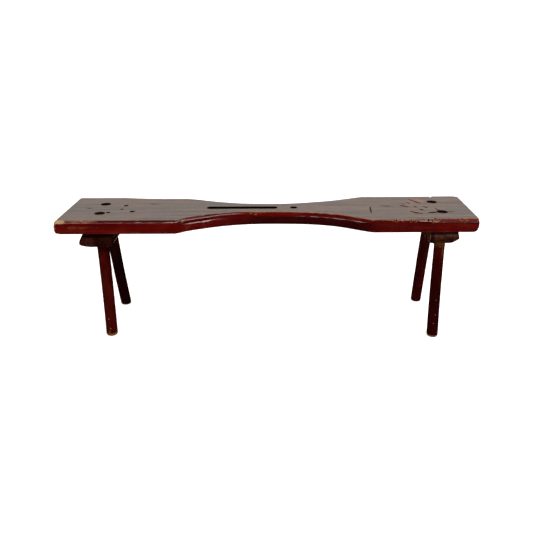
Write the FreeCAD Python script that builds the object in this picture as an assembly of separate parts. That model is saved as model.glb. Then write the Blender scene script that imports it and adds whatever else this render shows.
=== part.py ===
"""Waisted work bench on four splayed peg legs, in millimetres.

A long low bench. The plank narrows to a straddling waist, with a slot and a peg hole on the waist's
centre line. Under each end a hewn cleat runs across the plank. Each leg's round tenon passes through
its cleat and the plank, and a wedge driven into the tenon's end spreads it in its hole. Nails driven
up through each cleat hold it to the plank.

Frame: +X along the bench, +Y towards its back edge, +Z up. The origin is on the floor, under the
middle of the bench.
"""

import FreeCAD
import Part

import math
import os

V = FreeCAD.Vector

# ---- driving dimensions -------------------------------------------------------------------------

BENCH_LENGTH = 1415.0
SEAT_HEIGHT = 429.0
PLANK_THICKNESS = 45.0

# How far the plank's edges are from the centre line. The stretches outside the waist are straight
# from point to point, and each waist is one smooth curve through its points, shoulder to shoulder.
# The plank's ends aren't sawn quite square, so each corner has its own place along X.
FRONT_LEFT = [(-707.5, 149)]
FRONT_WAIST = [
    (-303, 149), (-262, 123), (-226, 105), (-160, 78), (-92, 61), (-30, 54.5), (50, 54),
    (115, 58), (175, 68), (235, 86), (280, 109), (325, 135), (358, 145),
]
FRONT_RIGHT = [(704, 145)]
BACK_LEFT = [(-701.5, 144), (-530, 144), (-460, 133), (-380, 127)]
BACK_WAIST = [
    (-295, 126), (-231, 106), (-186, 88), (-141, 74), (-90, 63), (-20, 57), (60, 57),
    (115, 64), (175, 77), (235, 93), (298, 118), (350, 140),
]
BACK_RIGHT = [(570, 140), (650, 144), (707.5, 144)]
CORNER_RADIUS = {"front_left": 6.0, "front_right": 11.0, "back_right": 24.0, "back_left": 8.0}

# The bevel along the seat's edges. It is wide and deep where the front of the waist is shaved back
# for the sitter's legs: each row is X, width and depth, with straight changes between rows.
EDGE_BEVEL = (6.0, 8.0)
SHARPEST_CORNER = 2.0  # the least radius left at a corner of the bevelled seat
FRONT_BEVEL = [
    (-303, 6, 8), (-262, 18, 17), (-226, 22, 20), (-160, 22, 20), (-92, 18, 18), (0, 9, 15),
    (80, 8, 9), (358, 6, 8),
]
BOTTOM_BEVEL = 3.0

SLOT_START = -210.0
SLOT_END = 36.0
SLOT_WIDTH = 25.0
SLOT_LINE = 2.0  # Y of the slot and the peg hole
PEG_HOLE_X = 94.0
PEG_HOLE_RADIUS = 11.0

TENON_RADIUS = 16.5
TENON_CLEARANCE = 0.1
TENON_RECESS = 8.0  # how far the tenon's end has sunk under the seat
FOOT_CHAMFER = 3.0
SHOULDER_CHAMFER = 2.0

WEDGE_THICK_END = 5.0
WEDGE_THIN_END = 1.4
WEDGE_LENGTH = 30.0
WEDGE_PROUD = 1.0

NAIL_HEAD_SIDE = 9.0
NAIL_HEAD_TIP = 4.0
NAIL_HEAD_HEIGHT = 2.2
NAIL_SHANK_SIDE = 4.6
NAIL_TIP_SIDE = 1.8
NAIL_INTO_PLANK = 24.0

# Each leg's own slant and size: where its axis leaves the seat, where it meets the floor, and its
# radius at its shoulder and at its foot.
LEGS = {
    "front_left": {"seat": (-574, -57), "floor": (-557.5, -128), "shoulder_r": 21.0, "foot_r": 20.6},
    "back_left": {"seat": (-579.5, 53), "floor": (-563, 127), "shoulder_r": 21.0, "foot_r": 20.8},
    "front_right": {"seat": (599.5, -58), "floor": (584.5, -145), "shoulder_r": 18.9, "foot_r": 20.2},
    "back_right": {"seat": (593.5, 63), "floor": (591.5, 145), "shoulder_r": 20.8, "foot_r": 20.2},
}

# Each cleat is a hewn slab. outer is its side towards the bench's end and inner the side towards the
# waist. lean is how far the outer side leans in at the top. slope is how far its lower outer edge is
# hewn off, across and up, and nose how far the lower edge of each of its two ends is, along Y and up.
CLEATS = {
    "left": {"thickness": 54, "outer": -636, "inner": -521, "lean": 19, "slope": (36, 8), "nose": (5, 8),
             "nail_offset": 16},
    "right": {"thickness": 48, "outer": 643, "inner": 544, "lean": 2, "slope": (20, 19), "nose": (9, 20),
              "nail_offset": 28},
}
CLEAT_HALF_SPAN = 136.0
CLEAT_INNER_BEVEL = 6.0
CLEAT_NAIL_ROWS = (-112.0, -22.0, 18.0, 114.0)  # Y of each nail, on alternate sides of the cleat

# ---- dimensions worked out from them ------------------------------------------------------------

PLANK_UNDERSIDE = SEAT_HEIGHT - PLANK_THICKNESS
TENON_TOP = SEAT_HEIGHT - TENON_RECESS
THROUGH = 10.0  # how far a cutting solid runs past the face that it cuts


# ---- the plank's outline ------------------------------------------------------------------------


def front_bevel(x):
    """The width and depth of the bevel along the seat's front edge."""
    if x <= FRONT_BEVEL[0][0] or x >= FRONT_BEVEL[-1][0]:
        return EDGE_BEVEL
    for (x0, width0, depth0), (x1, width1, depth1) in zip(FRONT_BEVEL, FRONT_BEVEL[1:]):
        if x <= x1:
            share = (x - x0) / (x1 - x0)
            return width0 + (width1 - width0) * share, depth0 + (depth1 - depth0) * share


def back_bevel(_x):
    return EDGE_BEVEL


def corner_arc(radius, sign_x, sign_y, end_x, edge_y):
    """A quarter circle at one corner: its point on the long edge, its middle, its point on the end."""
    centre = V(end_x - sign_x * radius, edge_y - sign_y * radius, 0)
    diagonal = V(sign_x, sign_y, 0) * (radius / math.sqrt(2))
    return centre + V(0, sign_y * radius, 0), centre + diagonal, centre + V(sign_x * radius, 0, 0)


def line(a, b):
    return Part.LineSegment(a, b).toShape()


def smooth(points):
    curve = Part.BSplineCurve()
    curve.interpolate(points)
    return curve.toShape()


def chain(points):
    return [line(a, b) for a, b in zip(points, points[1:])]


def plank_wire(place):
    """The plank's outline. place(x, bevel) gives a point's inset and height from its edge's bevel."""
    end_inset, end_z = place(BENCH_LENGTH / 2, back_bevel)

    def edge(points, sign, bevel):
        placed = []
        for x, distance in points:
            inset, z = place(x, bevel)
            placed.append(V(x, sign * (distance - inset), z))
        return placed

    def corner(name, sign_x, sign_y, end_x, distance):
        radius = max(CORNER_RADIUS[name] - end_inset, SHARPEST_CORNER)
        end_x -= sign_x * end_inset
        points = corner_arc(radius, sign_x, sign_y, end_x, sign_y * (distance - end_inset))
        return [p + V(0, 0, end_z) for p in points]

    front_left = corner("front_left", -1, -1, *FRONT_LEFT[0])
    front_right = corner("front_right", 1, -1, *FRONT_RIGHT[-1])
    back_right = corner("back_right", 1, 1, *BACK_RIGHT[-1])
    back_left = corner("back_left", -1, 1, *BACK_LEFT[0])
    front_waist = edge(FRONT_WAIST, -1, front_bevel)
    back_waist = edge(BACK_WAIST, 1, back_bevel)
    back_right_run = edge(BACK_RIGHT[:-1], 1, back_bevel)
    back_left_run = edge(BACK_LEFT[1:], 1, back_bevel)

    edges = chain([front_left[0], front_waist[0]])
    edges += [smooth(front_waist)]
    edges += chain([front_waist[-1], front_right[0]])
    edges += [Part.Arc(*front_right).toShape()]
    edges += chain([front_right[2], back_right[2]])
    edges += [Part.Arc(*reversed(back_right)).toShape()]
    edges += chain([back_right[0]] + back_right_run[::-1] + [back_waist[-1]])
    edges += [smooth(back_waist[::-1])]
    edges += chain([back_waist[0]] + back_left_run[::-1] + [back_left[0]])
    edges += [Part.Arc(*back_left).toShape()]
    edges += chain([back_left[2], front_left[2]])
    edges += [Part.Arc(*reversed(front_left)).toShape()]
    return Part.Wire(edges)


# ---- legs, wedges and nails ---------------------------------------------------------------------


def slab(z_low, z_high):
    """All the space between two heights."""
    size = 2 * BENCH_LENGTH
    return Part.makeBox(size, size, z_high - z_low, V(-size / 2, -size / 2, z_low))


def leg_axis(leg):
    """A leg's point on the floor, its direction upwards and its length up to the seat."""
    foot = V(*leg["floor"], 0)
    up = V(*leg["seat"], SEAT_HEIGHT) - foot
    return foot, V(up).normalize(), up.Length


def tenon_bar(leg, radius):
    """A round bar on the leg's axis, longer than the leg."""
    foot, up, length = leg_axis(leg)
    return Part.makeCylinder(radius, length * 1.2, foot - up * (0.1 * length), up)


def underside(cleat):
    """The height of a cleat's underside, where its legs' shoulders are."""
    return PLANK_UNDERSIDE - cleat["thickness"]


def leg_shaft(leg, shoulder):
    """The leg below its shoulder, sawn level at the floor and at the cleat, with eased rims."""
    foot, up, _ = leg_axis(leg)
    to_shoulder = shoulder / up.z
    spare = 30.0
    growth = (leg["shoulder_r"] - leg["foot_r"]) / to_shoulder
    low_r = leg["foot_r"] - growth * spare
    high_r = leg["shoulder_r"] + growth * spare
    cone = Part.makeCone(low_r, high_r, to_shoulder + 2 * spare, foot - up * spare, up)
    shaft = cone.common(slab(0, shoulder))
    for height, size in ((0.0, FOOT_CHAMFER), (shoulder, SHOULDER_CHAMFER)):
        rim = [e for e in shaft.Edges if all(abs(v.Z - height) < 0.01 for v in e.Vertexes)]
        shaft = shaft.makeChamfer(size, rim)
    return shaft


def wedge_prism(leg):
    """The wedge and the kerf it fills: thin end down, its blade across the plank's grain."""
    foot, up, _ = leg_axis(leg)
    across = V(0, 1, 0) - up * up.y
    across.normalize()
    along = across.cross(up)
    top = foot + up * (TENON_TOP / up.z)
    above = 3 * WEDGE_PROUD
    thick = WEDGE_THICK_END / 2
    thin = WEDGE_THIN_END / 2
    flare = (thick - thin) / WEDGE_LENGTH * above
    profile = [(-thin, -WEDGE_LENGTH), (thin, -WEDGE_LENGTH), (thick + flare, above), (-thick - flare, above)]
    start = top - across * (2 * TENON_RADIUS)
    points = [start + along * a + up * h for a, h in profile]
    return Part.Face(Part.makePolygon(points + points[:1])).extrude(across * (4 * TENON_RADIUS))


def make_leg(leg, shoulder):
    tenon = tenon_bar(leg, TENON_RADIUS).common(slab(shoulder, TENON_TOP))
    whole = leg_shaft(leg, shoulder).fuse(tenon).removeSplitter()
    return whole.cut(wedge_prism(leg))


def make_wedge(leg):
    return wedge_prism(leg).common(tenon_bar(leg, TENON_RADIUS)).common(slab(0, TENON_TOP + WEDGE_PROUD))


def square_wire(x, y, z, side):
    half = side / 2
    corners = [V(x + a * half, y + b * half, z) for a, b in ((-1, -1), (1, -1), (1, 1), (-1, 1))]
    return Part.makePolygon(corners + corners[:1])


def make_nail(x, y, z):
    """A cut nail driven up through the cleat from z, with a hammered head left proud of it."""
    head_tip = square_wire(x, y, z - NAIL_HEAD_HEIGHT, NAIL_HEAD_TIP)
    head_base = square_wire(x, y, z, NAIL_HEAD_SIDE)
    shank_base = square_wire(x, y, z, NAIL_SHANK_SIDE)
    shank_tip = square_wire(x, y, PLANK_UNDERSIDE + NAIL_INTO_PLANK, NAIL_TIP_SIDE)
    head = Part.makeLoft([head_tip, head_base], True, True)
    shank = Part.makeLoft([shank_base, shank_tip], True, True)
    return head.fuse(shank).removeSplitter()


def cleat_nails(cleat):
    """A cleat's nails, in two staggered rows."""
    middle = (cleat["outer"] + cleat["inner"]) / 2
    nails = []
    for i, y in enumerate(CLEAT_NAIL_ROWS):
        side = -1 if i % 2 == 0 else 1
        nails.append(make_nail(middle + side * cleat["nail_offset"], y, underside(cleat)))
    return nails


# ---- cleats and plank ---------------------------------------------------------------------------


def make_cleat(cleat, legs, nails):
    """A slab across the plank's underside, bevelled along its lower edges and under its two ends."""
    outer, inner = cleat["outer"], cleat["inner"]
    outward = math.copysign(1, outer)
    low = underside(cleat)
    slope_x, slope_z = cleat["slope"]
    section = [
        (inner, PLANK_UNDERSIDE),
        (inner, low + CLEAT_INNER_BEVEL),
        (inner + outward * CLEAT_INNER_BEVEL, low),
        (outer - outward * slope_x, low),
        (outer, low + slope_z),
        (outer - outward * cleat["lean"], PLANK_UNDERSIDE),
    ]
    points = [V(x, -CLEAT_HALF_SPAN, z) for x, z in section]
    body = Part.Face(Part.makePolygon(points + points[:1])).extrude(V(0, 2 * CLEAT_HALF_SPAN, 0))
    nose_y, nose_z = cleat["nose"]
    lengthwise = [
        (-CLEAT_HALF_SPAN, PLANK_UNDERSIDE),
        (-CLEAT_HALF_SPAN, low + nose_z),
        (-CLEAT_HALF_SPAN + nose_y, low),
        (CLEAT_HALF_SPAN - nose_y, low),
        (CLEAT_HALF_SPAN, low + nose_z),
        (CLEAT_HALF_SPAN, PLANK_UNDERSIDE),
    ]
    points = [V(min(inner, outer) - THROUGH, y, z) for y, z in lengthwise]
    ends = Part.Face(Part.makePolygon(points + points[:1]))
    body = body.common(ends.extrude(V(abs(outer - inner) + 2 * THROUGH, 0, 0)))
    for leg in legs:
        body = body.cut(tenon_bar(leg, TENON_RADIUS + TENON_CLEARANCE))
    return body.cut(nails)


def slot_solid():
    """The slot's space, round at both ends, running past both faces of the plank."""
    half = SLOT_WIDTH / 2
    start, end = SLOT_START + half, SLOT_END - half
    front, back = SLOT_LINE - half, SLOT_LINE + half
    wire = Part.Wire([
        line(V(start, front, 0), V(end, front, 0)),
        Part.Arc(V(end, front, 0), V(SLOT_END, SLOT_LINE, 0), V(end, back, 0)).toShape(),
        line(V(end, back, 0), V(start, back, 0)),
        Part.Arc(V(start, back, 0), V(SLOT_START, SLOT_LINE, 0), V(start, front, 0)).toShape(),
    ])
    face = Part.Face(wire)
    face.translate(V(0, 0, PLANK_UNDERSIDE - THROUGH))
    return face.extrude(V(0, 0, PLANK_THICKNESS + 2 * THROUGH))


def peg_hole_solid():
    base = V(PEG_HOLE_X, SLOT_LINE, PLANK_UNDERSIDE - THROUGH)
    return Part.makeCylinder(PEG_HOLE_RADIUS, PLANK_THICKNESS + 2 * THROUGH, base)


def make_plank(nails):
    levels = [
        lambda x, bevel: (BOTTOM_BEVEL, PLANK_UNDERSIDE),
        lambda x, bevel: (0.0, PLANK_UNDERSIDE + BOTTOM_BEVEL),
        lambda x, bevel: (0.0, SEAT_HEIGHT - bevel(x)[1]),
        lambda x, bevel: (bevel(x)[0], SEAT_HEIGHT),
    ]
    plank = Part.makeLoft([plank_wire(place) for place in levels], True, True)
    for leg in LEGS.values():
        plank = plank.cut(tenon_bar(leg, TENON_RADIUS + TENON_CLEARANCE))
    return plank.cut(slot_solid()).cut(peg_hole_solid()).cut(nails)


# ---- build and write ----------------------------------------------------------------------------


def save(name, shape):
    solids = shape.Solids
    if not solids or not all(s.isValid() and s.Volume > 0 for s in solids):
        raise ValueError(f"{name} isn't a valid solid")
    kept = solids[0] if len(solids) == 1 else Part.makeCompound(solids)
    kept.exportStep(f"parts/{name}.step")
    box = kept.BoundBox
    print(f"{name}: {len(solids)} solid(s), X {box.XMin:.2f} to {box.XMax:.2f}, "
          f"Y {box.YMin:.2f} to {box.YMax:.2f}, {shape.Volume / 1000:.2f} cm3")


def main():
    os.makedirs("parts", exist_ok=True)
    nails = {side: cleat_nails(cleat) for side, cleat in CLEATS.items()}
    save("seat_plank", make_plank(nails["left"] + nails["right"]))
    for side, cleat in CLEATS.items():
        legs = {name: leg for name, leg in LEGS.items() if name.endswith(side)}
        save(f"{side}_cleat", make_cleat(cleat, legs.values(), nails[side]))
        save(f"{side}_cleat_nails", Part.makeCompound(nails[side]))
        for name, leg in legs.items():
            save(f"{name}_leg", make_leg(leg, underside(cleat)))
            save(f"{name}_wedge", make_wedge(leg))


main()
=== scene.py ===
"""The looks of a waisted work bench: worn, hand-hewn wood under a dark red-brown varnish.

The plank, the cleats and the legs are remade as hewn and worn meshes over their CAD nodes, and the
wedges and nails keep their CAD shapes. Lengths are metres, in the frame of the CAD model.
"""

import bisect
import math

import bmesh
import bpy
from mathutils import Matrix, Vector, noise
from mathutils.bvhtree import BVHTree


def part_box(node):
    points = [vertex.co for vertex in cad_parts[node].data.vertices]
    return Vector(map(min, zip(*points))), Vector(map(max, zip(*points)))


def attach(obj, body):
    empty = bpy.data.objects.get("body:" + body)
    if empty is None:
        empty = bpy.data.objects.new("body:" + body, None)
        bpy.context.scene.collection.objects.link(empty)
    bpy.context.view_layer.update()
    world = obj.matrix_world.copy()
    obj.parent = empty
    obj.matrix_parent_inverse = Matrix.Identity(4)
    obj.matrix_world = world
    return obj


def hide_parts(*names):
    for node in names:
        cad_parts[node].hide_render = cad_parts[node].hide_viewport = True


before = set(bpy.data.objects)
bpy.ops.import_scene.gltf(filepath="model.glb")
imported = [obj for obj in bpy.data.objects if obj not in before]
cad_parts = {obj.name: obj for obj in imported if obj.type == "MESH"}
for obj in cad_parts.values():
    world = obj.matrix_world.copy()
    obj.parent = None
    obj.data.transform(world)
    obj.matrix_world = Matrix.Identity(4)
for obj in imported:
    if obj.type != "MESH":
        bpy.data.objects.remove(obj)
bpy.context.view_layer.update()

MM = 0.001
PLANK_LOW, PLANK_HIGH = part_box("seat_plank")
HALF_LENGTH = PLANK_HIGH.x
SEAT = PLANK_HIGH.z
UNDERSIDE = PLANK_LOW.z
THICKNESS = SEAT - UNDERSIDE
SIDES = ("left", "right")
LEGS = ("front_left", "back_left", "front_right", "back_right")
BACKWARD = Vector((0, 1, 0))
UP = Vector((0, 0, 1))


# ---- small tools ----


def smoothstep(low, high, x):
    t = min(max((x - low) / (high - low), 0.0), 1.0)
    return t * t * (3 - 2 * t)


def fade(low, high, x):
    """1 up to low, and 0 from high on."""
    return 1 - smoothstep(low, high, x)


def lerp(a, b, t):
    return a + (b - a) * t


def neighbours(rows, x):
    """The values next to x in rows of (x, value), and how far x is from the first to the second."""
    x = min(max(x, rows[0][0]), rows[-1][0])
    i = max(bisect.bisect_left(rows, x, key=lambda row: row[0]), 1)
    (x0, v0), (x1, v1) = rows[i - 1], rows[i]
    return v0, v1, (x - x0) / (x1 - x0)


def table_value(rows, x):
    """The value at x of rows of (x, value), straight between rows and level past the ends."""
    return lerp(*neighbours(rows, x))


def soft_box(low, high, soft, x):
    """1 between low and high, and 0 beyond them, changing over the length soft."""
    return smoothstep(low - soft, low, x) * fade(high, high + soft, x)


def ripple(p, size, seed):
    """Smooth noise from -1 to 1. size is the length of one ripple, or one length for each axis."""
    sx, sy, sz = size if isinstance(size, tuple) else (size, size, size)
    return noise.noise(Vector((p.x / sx + seed, p.y / sy - seed, p.z / sz + 2 * seed)))


def tree_of(node):
    """A tree of a CAD node's faces, to measure the node with rays."""
    bm = bmesh.new()
    bm.from_mesh(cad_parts[node].data)
    bmesh.ops.remove_doubles(bm, verts=bm.verts, dist=1e-6)
    tree = BVHTree.FromBMesh(bm)
    bm.free()
    return tree


def scene_object(name, data):
    obj = bpy.data.objects.new(name, data)
    bpy.context.scene.collection.objects.link(obj)
    return obj


def new_object(name, bm, *materials):
    mesh = bpy.data.meshes.new(name)
    bm.to_mesh(mesh)
    bm.free()
    for material in materials:
        mesh.materials.append(material)
    return scene_object(name, mesh)


STATION_STEP = 4.0 * MM
END_MARGIN = 0.028
NEAR_END = (0.05, 0.6, 1.4, 2.4, 3.6, 5.0, 6.5, 8.5, 11.0, 14.0, 17.5, 21.0, 24.5)


def end_stations(low, high):
    """Places from low to high, even in the middle and closer together near either end."""
    near = [d * MM for d in NEAR_END]
    count = round((high - low - 2 * END_MARGIN) / STATION_STEP)
    middle = [low + END_MARGIN + (high - low - 2 * END_MARGIN) * i / count for i in range(count + 1)]
    return [low + d for d in near] + middle + [high - d for d in reversed(near)]


def skin(bm, rings):
    """Makes the rings' vertices and the faces from each ring to the next, and returns the vertices."""
    made = [[bm.verts.new(p) for p in ring] for ring in rings]
    count = len(rings[0])
    for near, far in zip(made, made[1:]):
        for i in range(count):
            j = (i + 1) % count
            bm.faces.new((near[i], near[j], far[j], far[i]))
    return made


def ring_mesh(rings, columns, rows):
    """A closed mesh through rings of columns * 2 + rows * 2 points, each ring a top row, one side's
    rows going down, a bottom row coming back, and the other side's rows going up."""
    bm = bmesh.new()
    made = skin(bm, rings)
    for ring, flip in ((made[0], True), (made[-1], False)):
        grid = [ring[:columns]]
        for k in range(rows):
            share = (k + 1) / (rows + 1)
            right = ring[columns + k]
            left = ring[-1 - k]
            line = [left]
            for i in range(1, columns - 1):
                top, bottom = ring[i].co, ring[2 * columns + rows - 1 - i].co
                line.append(bm.verts.new(top.lerp(bottom, share)))
            grid.append(line + [right])
        grid.append(list(reversed(ring[columns + rows:2 * columns + rows])))
        for upper, lower in zip(grid, grid[1:]):
            for i in range(columns - 1):
                face = (upper[i], lower[i], lower[i + 1], upper[i + 1])
                bm.faces.new(reversed(face) if flip else face)
    bmesh.ops.recalc_face_normals(bm, faces=bm.faces)
    return bm


def capped_mesh(rings):
    """A closed mesh through rings, with one face over each of its ends."""
    bm = bmesh.new()
    made = skin(bm, rings)
    for ring in (made[0], made[-1]):
        bm.faces.new(ring)
    bmesh.ops.recalc_face_normals(bm, faces=bm.faces)
    return bm


END_FILL = (0.25, 0.55, 0.8)  # the sizes of the rings that fill a round end


def lathe_mesh(rings):
    """A closed mesh through round rings, with both its ends filled by shrinking rings."""
    fills = []
    for end, sizes in ((rings[0], END_FILL), (rings[-1], reversed(END_FILL))):
        centre = sum(end, Vector()) / len(end)
        fills.append([[centre.lerp(p, size) for p in end] for size in sizes])
    return capped_mesh(fills[0] + rings + fills[1])


def wear_down(bm, depth):
    """Moves each vertex in along its normal by depth(place, normal)."""
    bm.normal_update()
    moves = [(v, v.normal * depth(v.co, v.normal)) for v in bm.verts]
    for v, move in moves:
        v.co -= move


def cut(obj, cutter):
    """Cuts cutter's solid out of obj. The new walls take the cutter's material."""
    for material in cutter.data.materials:
        if material.name not in obj.data.materials:
            obj.data.materials.append(material)
    modifier = obj.modifiers.new("cut", "BOOLEAN")
    modifier.operation = "DIFFERENCE"
    modifier.solver = "EXACT"
    modifier.material_mode = "TRANSFER"
    modifier.object = cutter
    bpy.context.view_layer.update()
    result = bpy.data.meshes.new_from_object(obj.evaluated_get(bpy.context.evaluated_depsgraph_get()))
    obj.modifiers.clear()
    obj.data = result
    bpy.data.objects.remove(cutter)


SHARP_ANGLE = 40
EDGE_GAIN = 3.0  # how strongly a bend in the surface counts as an edge


def finish_mesh(obj, sharp_angle=SHARP_ANGLE):
    """Smooth shading with sharp edges kept, and an edge attribute that the wear follows."""
    bm = bmesh.new()
    bm.from_mesh(obj.data)
    bmesh.ops.triangulate(bm, faces=[f for f in bm.faces if len(f.verts) > 4])
    bm.normal_update()
    layer = bm.verts.layers.float.new("edge")
    for v in bm.verts:
        steps = [v.co - e.other_vert(v).co for e in v.link_edges]
        total = sum(step.length for step in steps)
        bend = sum(v.normal.dot(step) for step in steps) / total if total else 0.0
        v[layer] = min(max(bend * EDGE_GAIN, 0.0), 1.0)
    for f in bm.faces:
        f.smooth = True
    bm.to_mesh(obj.data)
    bm.free()
    obj.data.set_sharp_from_angle(angle=math.radians(sharp_angle))


def paint(obj, **values):
    """Vertex attributes from 0 to 1, each from a function of a vertex's place."""
    for name, value in values.items():
        layer = obj.data.attributes.new(name, "FLOAT", "POINT")
        layer.data.foreach_set("value", [min(max(value(v.co), 0.0), 1.0) for v in obj.data.vertices])


# ---- materials ----


class Shader:
    """The nodes of a material or a world, made in the order that they are read."""

    def __init__(self, owner):
        owner.use_nodes = True
        self.owner = owner
        self.tree = owner.node_tree

    def set_inputs(self, node, inputs):
        """Sets a node's inputs, given by their names with underscores for spaces."""
        for key, value in inputs.items():
            self.set(node.inputs[key.replace("_", " ")], value)

    def node(self, kind, **inputs):
        made = self.tree.nodes.new(kind)
        self.set_inputs(made, inputs)
        return made

    def surface(self, **inputs):
        """Sets the inputs of a material's own shader, and returns the material."""
        self.set_inputs(self.tree.nodes["Principled BSDF"], inputs)
        return self.owner

    def set(self, socket, value):
        if isinstance(value, bpy.types.NodeSocket):
            self.tree.links.new(value, socket)
        else:
            socket.default_value = value

    def place(self, scale=(1.0, 1.0, 1.0)):
        mapping = self.node("ShaderNodeMapping", Scale=scale)
        self.set(mapping.inputs["Vector"], self.node("ShaderNodeTexCoord").outputs["Object"])
        return mapping.outputs["Vector"]

    def noise(self, vector, scale=1.0, detail=4.0, roughness=0.55, distortion=0.0):
        made = self.node("ShaderNodeTexNoise", Vector=vector, Scale=scale, Detail=detail,
                         Roughness=roughness, Distortion=distortion)
        return made.outputs["Fac"]

    def attribute(self, name):
        made = self.node("ShaderNodeAttribute")
        made.attribute_name = name
        return made.outputs["Fac"]

    def maths(self, operation, a, b):
        made = self.node("ShaderNodeMath")
        made.operation = operation
        self.set(made.inputs[0], a)
        self.set(made.inputs[1], b)
        return made.outputs[0]

    def add(self, a, b):
        return self.maths("ADD", a, b)

    def times(self, a, b):
        return self.maths("MULTIPLY", a, b)

    def range(self, value, low, high, to_low=0.0, to_high=1.0):
        made = self.node("ShaderNodeMapRange", Value=value, From_Min=low, From_Max=high, To_Min=to_low,
                         To_Max=to_high)
        made.interpolation_type = "SMOOTHSTEP"
        return made.outputs["Result"]

    def ramp(self, value, *stops):
        made = self.node("ShaderNodeValToRGB", Fac=value)
        elements = made.color_ramp.elements
        while len(elements) < len(stops):
            elements.new(0.5)
        for element, (position, colour) in zip(elements, stops):
            element.position = position
            element.color = (*colour, 1.0)
        return made.outputs["Color"]

    def mix(self, share, a, b):
        made = self.node("ShaderNodeMix")
        made.data_type = "RGBA"
        self.set(made.inputs["Factor"], share)
        for key, value in (("A", a), ("B", b)):
            self.set(made.inputs[key], (*value, 1.0) if isinstance(value, tuple) else value)
        return made.outputs["Result"]

    def bump(self, height, distance, strength, under=None):
        made = self.node("ShaderNodeBump", Height=height, Distance=distance, Strength=strength)
        if under is not None:
            self.set(made.inputs["Normal"], under)
        return made.outputs["Normal"]


GRAIN_SCALE = {"X": (5.0, 110.0, 110.0), "Y": (110.0, 5.0, 110.0), "Z": (110.0, 110.0, 5.0)}
FIGURE_SCALE = {"X": (1.6, 20.0, 20.0), "Y": (20.0, 1.6, 20.0), "Z": (20.0, 20.0, 1.6)}
SEAT_DARK = (0.016, 0.003, 0.001)
SEAT_MIDDLE = (0.045, 0.014, 0.005)
SEAT_LIGHT = (0.100, 0.041, 0.017)
# The near-black red that painted shade darkens the varnish to.
PAINTED_SHADE_COLOUR = (0.013, 0.0005, 0.0005)
BARE_DARK = (0.20, 0.09, 0.028)
BARE_LIGHT = (0.55, 0.33, 0.13)
ROUGHNESS = 0.17
SEAT_DULLNESS = 0.11
WORN_FROM, WORN_FULL = 0.95, 1.30  # wear and its breakup together, where the worn stain shows
BARE_FROM, BARE_FULL = 0.98, 1.12


def varnished_wood(name, grain, dark, middle, light, worn):
    """Old varnished wood. Attributes: seat is for the duller, browner varnish of the sitting surface; one
    darkens it with painted shade; edge and one for wear bring out the worn colour, which on the cleats'
    inner sides is painted light; and one shows the raw wood itself, a painted highlight on the cleats'
    inner arris and in the legs' dents, and partly one on a leg's collar and the plank's near left corner."""
    s = Shader(bpy.data.materials.new(name))
    fine = s.noise(s.place(GRAIN_SCALE[grain]), detail=6.0, roughness=0.65)
    figure = s.noise(s.place(FIGURE_SCALE[grain]), detail=4.0, distortion=0.4)
    mottle = s.noise(s.place(), scale=22.0, detail=5.0, roughness=0.6)
    speckle = s.noise(s.place(), scale=130.0, detail=1.5)

    tone = s.add(s.add(s.times(fine, 0.45), s.times(figure, 0.35)), s.times(mottle, 0.20))
    colour = s.ramp(tone, (0.36, dark), (0.50, middle), (0.66, light))
    seat = s.attribute("seat")
    colour = s.mix(seat, colour, s.ramp(tone, (0.42, SEAT_DARK), (0.50, SEAT_MIDDLE), (0.60, SEAT_LIGHT)))
    # Painted shade: mixes the colour towards a near-black red.
    colour = s.mix(s.attribute("grime"), colour, PAINTED_SHADE_COLOUR)

    breakup = s.add(s.times(mottle, 0.7), s.times(speckle, 0.3))
    # The worn colour comes out at edges and worn places; on the cleats' inner sides it is painted light.
    wear = s.add(s.add(s.attribute("edge"), s.attribute("rubbed")), breakup)
    worn_and_lit_share = s.range(wear, WORN_FROM, WORN_FULL)
    colour = s.mix(worn_and_lit_share, colour, worn)
    # Raw wood where the varnish is gone, and a painted highlight on the cleats' inner arris and in the legs'
    # dents.
    bare_colour = s.ramp(fine, (0.35, BARE_DARK), (0.62, BARE_LIGHT))
    bare_share = s.range(s.add(s.attribute("bare"), breakup), BARE_FROM, BARE_FULL)
    colour = s.mix(bare_share, colour, bare_colour)

    gloss = s.add(s.range(tone, 0.3, 0.7, ROUGHNESS - 0.03, ROUGHNESS + 0.05), s.times(bare_share, 0.30))
    dull = s.add(SEAT_DULLNESS, s.times(worn_and_lit_share, 0.16))
    gloss = s.add(gloss, s.times(seat, dull))
    swell = s.noise(s.place(FIGURE_SCALE[grain]), scale=2.0, detail=1.0)
    pores = s.noise(s.place(GRAIN_SCALE[grain]), detail=1.0)
    relief = s.bump(swell, 0.0012, 0.8)
    relief = s.bump(pores, 0.00015, 0.5, relief)
    relief = s.bump(speckle, 0.0002, 0.5, relief)
    relief = s.bump(s.noise(s.place(), scale=45.0, detail=2.0), 0.0007, 0.5, relief)
    return s.surface(Base_Color=colour, Roughness=gloss, Normal=relief, IOR=1.5)


def raw_wood(name, grain, dark, light, roughness, shine):
    """Uncoated wood, such as a hole's wall, a chip or end grain."""
    s = Shader(bpy.data.materials.new(name))
    fine = s.noise(s.place(GRAIN_SCALE[grain]), detail=6.0, roughness=0.7)
    mottle = s.noise(s.place(), scale=60.0, detail=4.0)
    tone = s.add(s.times(fine, 0.6), s.times(mottle, 0.4))
    return s.surface(Base_Color=s.ramp(tone, (0.38, dark), (0.62, light)), Normal=s.bump(tone, 0.001, 0.6),
                     Roughness=roughness, Specular_IOR_Level=shine)


def old_iron(name):
    s = Shader(bpy.data.materials.new(name))
    rust = s.noise(s.place(), scale=350.0, detail=5.0)
    return s.surface(Base_Color=s.ramp(rust, (0.42, (0.035, 0.028, 0.025)), (0.62, (0.16, 0.06, 0.025))),
                     Roughness=s.range(rust, 0.4, 0.6, 0.45, 0.8), Normal=s.bump(rust, 0.0006, 0.6),
                     Metallic=0.7)


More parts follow.
